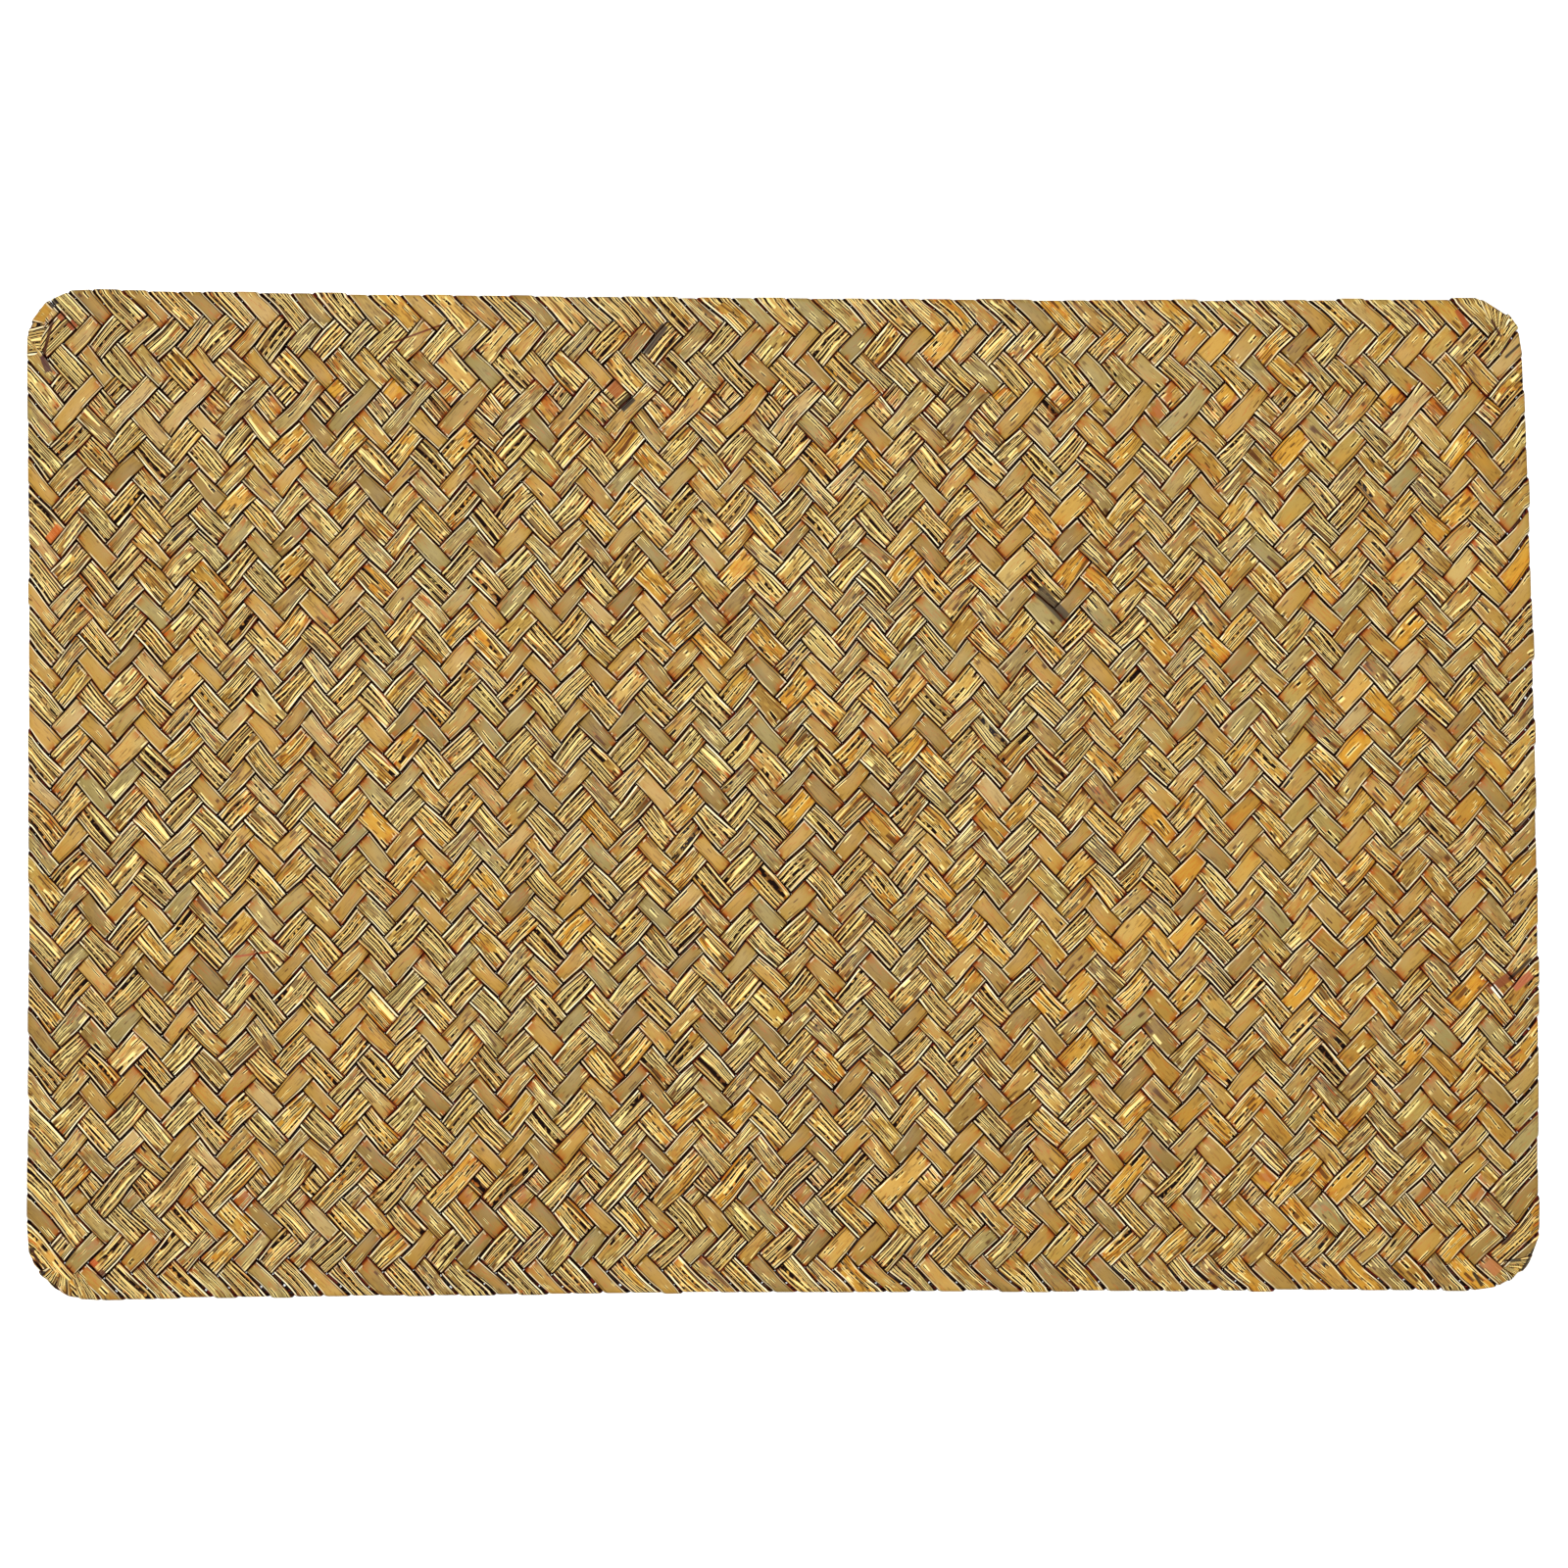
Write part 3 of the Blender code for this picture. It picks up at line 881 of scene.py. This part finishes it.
smooth_finishes = strip_finishes(
    "smooth_strip",
    colours={
        "body": (0.292, 0.180, 0.040, 1.0),
        "pale": (0.390, 0.268, 0.110, 1.0),
        "dull": (0.165, 0.098, 0.025, 1.0),
        "golden": (0.368, 0.200, 0.032, 1.0),
        "olive": (0.235, 0.184, 0.062, 1.0),
        "rust": (0.270, 0.074, 0.008, 1.0),
    },
    roughness=0.42,
    coat=0.05,
)
lay_group(
    "smooth",
    "down",
    [number for number in DOWN_STRIPS if number % 2 == 0],
    smooth_finishes,
    {
        "seed": 12,
        "tone": -0.30,
        "tone_spread": 0.14,
        "tone_to_right": -0.25,
        "streaks": 0.32,
        "streaks_to_right": 0.0,
    },
)

# The streaked strips that run up to the right, which cross the others at a right angle or nearly.
# They are of the same dried stems, and to the right of the mat they are the paler direction.

lay_group(
    "streaked",
    "up",
    [number for number in UP_STRIPS if number % 2 == 0],
    streaked_finishes,
    {
        "seed": 13,
        "tone": 0.34,
        "tone_spread": 0.16,
        "tone_to_right": -0.20,
        "streaks": 0.84,
        "streaks_to_right": -0.38,
    },
)

# The smooth strips that run up to the right, with the stem's waxy outer side up again. They are
# laid in turn with the streaked ones, and folded over the rim in the same way.

lay_group(
    "smooth",
    "up",
    [number for number in UP_STRIPS if number % 2],
    smooth_finishes,
    {
        "seed": 14,
        "tone": -0.50,
        "tone_spread": 0.14,
        "tone_to_right": 0.60,
        "streaks": 0.32,
        "streaks_to_right": -0.06,
    },
)

# Gathered strips at the four rounded corners: there the maker bunches the last ends, narrow where
# they come out from under the others and wide at the rim, and folds them over it on top.

GATHERED_THICKNESS = 0.00030
GATHERED_HEIGHT = LAYER_RISE + 0.00033
# It comes up from so far under the face, as a share of its height, by this share of its length
STARTS_UNDER = 0.25
RISEN_BY = 0.45
PAST_THE_RIM = 3.0
GATHERED_STEPS = 9
BUNCH_APART = 3.1
SHADE, SHADE_BELOW = 0.45, 0.2
ROUNDS = 4
# Each in millimetres from the mat's middle: the two sides of its narrow end, then of its wide end
GATHERED_COLUMNS = ("narrow_a", "narrow_b", "wide_a", "wide_b", "tone", "warmth", "streaks")
GATHERED = (
    ((-218.5, 141.0), (-219.5, 131.0), (-223.8, 139.4), (-225.6, 130.4), 0.2, 0.4, 1.0),
    ((-216.6, 144.0), (-219.9, 140.2), (-218.9, 146.6), (-223.6, 140.8), -0.7, 0.4, 0.1),
    ((212.4, 137.6), (213.9, 136.7), (206.9, 148.1), (217.4, 141.1), 0.1, 0.3, 1.0),
    ((-213.0, -141.7), (-211.0, -140.8), (-210.4, -149.0), (-204.5, -149.6), 0.9, -0.4, 1.0),
    ((-218.2, -140.0), (-213.0, -142.8), (-221.8, -142.0), (-212.1, -148.7), -0.7, -0.4, 0.5),
    ((213.6, -139.7), (214.8, -141.1), (223.2, -137.3), (216.8, -145.8), 0.3, 0.3, 1.0),
)


def on_straight_mat(x, y):
    """A point in millimetres from this mat's middle, taken back to the straight-sided one."""
    goal_x, goal_y = x * MILLIMETRE + MIDDLE_X, y * MILLIMETRE + MIDDLE_Y
    flat_x, flat_y = goal_x, goal_y
    for _ in range(ROUNDS):
        there_x, there_y = as_plaited(flat_x, flat_y)
        flat_x, flat_y = flat_x + goal_x - there_x, flat_y + goal_y - there_y
    return flat_x, flat_y


def gather_strip(narrow_a, narrow_b, wide_a, wide_b, tone, warmth, streaks, number):
    """One gathered strip as rings of points, from its narrow end to the fold over the rim."""
    corners = (narrow_a, narrow_b, wide_a, wide_b)
    from_a, from_b, to_a, to_b = [np.array(on_straight_mat(*place)) for place in corners]

    def line(share, along):
        start = from_a[:, None, None] + (from_b - from_a)[:, None, None] * share
        end = to_a[:, None, None] + (to_b - to_a)[:, None, None] * share
        return start + (end - start) * along

    shares = SECTION_SHARES
    inside = np.zeros((1, len(shares)))
    outside = np.full_like(inside, PAST_THE_RIM)
    fold_start = where_it_passes(line, shares, inside, outside, 0.0)
    fold_end = where_it_passes(line, shares, inside, outside, FOLD_END)
    steps = np.linspace(0, 1, GATHERED_STEPS)
    blocks = [fold_start * step for step in steps]
    blocks += [fold_start + (fold_end - fold_start) * step for step in steps[1:]]
    along = np.concatenate(blocks)[:, RING]
    share = np.broadcast_to(shares[RING], along.shape)
    side = np.broadcast_to(RING_SIDES, along.shape)
    risen = np.clip(along / RISEN_BY, 0, 1)
    rise = risen**2 * (3 - 2 * risen)
    height = GATHERED_HEIGHT * (rise * (1 + STARTS_UNDER) - STARTS_UNDER)
    section = GATHERED_THICKNESS * SECTION_HEIGHTS[RING] * side
    length = np.linalg.norm((to_a + to_b - from_a - from_b) / 2) + FOLD_END
    width = np.linalg.norm(to_b - to_a)
    strip_place = (
        along * length / MILLIMETRE,
        (share - 0.5) * width / MILLIMETRE,
        np.full_like(along, number * BUNCH_APART),
    )
    # Painted shade: dark where it is still under the others, and a little on its underside
    shade_under_others = np.where(side > 0, 1 - risen, SHADE_BELOW) * SHADE
    return {
        "points": folded(*line(share, along), height, section, GATHERED_HEIGHT - LAYER_RISE),
        "length": length,
        "width": (width + np.linalg.norm(from_b - from_a)) / 2,
        "strip_place": np.stack(strip_place, -1),
        "strip_look": np.full(along.shape + (3,), (tone, warmth, streaks)),
        "strip_wear": np.stack((2 * share - 1, shade_under_others, along * length / MILLIMETRE), -1),
    }


gathered = []
for number, row in enumerate(GATHERED):
    bunch = dict(zip(GATHERED_COLUMNS, row))
    gathered.append(gather_strip(number=number, **bunch))
piece = bpy.data.objects.new("gathered_corners", strip_mesh("gathered_corners", gathered, "down"))
bpy.context.scene.collection.objects.link(piece)
for material in streaked_finishes:
    piece.data.materials.append(material)
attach(piece, "root")
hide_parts("plaited_mat")
# They are short, so their size on the flat is reckoned as if laid out in two rows, end to end
side_by_side = sum(strip["width"] for strip in gathered) / 2
end_to_end = 2 * sum(strip["length"] for strip in gathered) / len(gathered)

# The floor: a plain pale board that the mat lies on, with nothing else on it. It is far wider
# than the view.

FLOOR_HALF = 3.0
FLOOR_WHITE = (0.93, 0.93, 0.93, 1.0)


def pale_floor():
    corners = [(-FLOOR_HALF, -FLOOR_HALF), (FLOOR_HALF, -FLOOR_HALF)]
    corners += [(FLOOR_HALF, FLOOR_HALF), (-FLOOR_HALF, FLOOR_HALF)]
    mesh = bpy.data.meshes.new("floor")
    mesh.from_pydata([(x, y, cad_low.z) for x, y in corners], [], [(0, 1, 2, 3)])
    floor = bpy.data.objects.new("floor", mesh)
    bpy.context.scene.collection.objects.link(floor)
    material = bpy.data.materials.new("pale_floor")
    material.use_nodes = True
    surface = material.node_tree.nodes["Principled BSDF"]
    surface.inputs["Base Color"].default_value = FLOOR_WHITE
    surface.inputs["Roughness"].default_value = 0.9
    mesh.materials.append(material)


pale_floor()

# The light: one soft box high above and a little to the top left, a weaker and wider one on the
# other side, and a pale room that fills in the rest.


def soft_box(name, place, size, power):
    light = bpy.data.lights.new(name, "AREA")
    light.shape = "SQUARE"
    light.size = size
    light.energy = power
    box = bpy.data.objects.new(name, light)
    box.location = place
    towards = -box.location
    box.rotation_euler = towards.to_track_quat("-Z", "Y").to_euler()
    bpy.context.scene.collection.objects.link(box)


soft_box("key_light", place=(-0.15, 0.20, 2.0), size=0.8, power=56.0)
soft_box("fill_light", place=(0.4, -0.3, 2.0), size=1.6, power=6.0)

room = bpy.data.worlds.new("pale_room")
room.use_nodes = True
room.node_tree.nodes["Background"].inputs["Color"].default_value = (1.0, 1.0, 1.0, 1.0)
room.node_tree.nodes["Background"].inputs["Strength"].default_value = 0.28
bpy.context.scene.world = room
bpy.context.scene.view_settings.view_transform = "Standard"

# The camera: straight above, as in the photograph, which is 1600 pixels wide and high. The mat's
# middle is a little left of and below the picture's.

PICTURE_PIXELS = 1600
PIXEL = 0.0002922
MAT_MIDDLE_PIXEL = (799.0, 811.0)
LENS_MM = 85.0
SENSOR_MM = 36.0
camera_data = bpy.data.cameras.new("camera")
camera_data.sensor_width = SENSOR_MM
camera_data.lens = LENS_MM
camera = bpy.data.objects.new("camera", camera_data)
picture_middle_x = (PICTURE_PIXELS / 2 - MAT_MIDDLE_PIXEL[0]) * PIXEL
picture_middle_y = (MAT_MIDDLE_PIXEL[1] - PICTURE_PIXELS / 2) * PIXEL
camera_height = PICTURE_PIXELS * PIXEL * LENS_MM / SENSOR_MM
camera.location = (picture_middle_x, picture_middle_y, cad_high.z + camera_height)
bpy.context.scene.collection.objects.link(camera)
bpy.context.scene.camera = camera
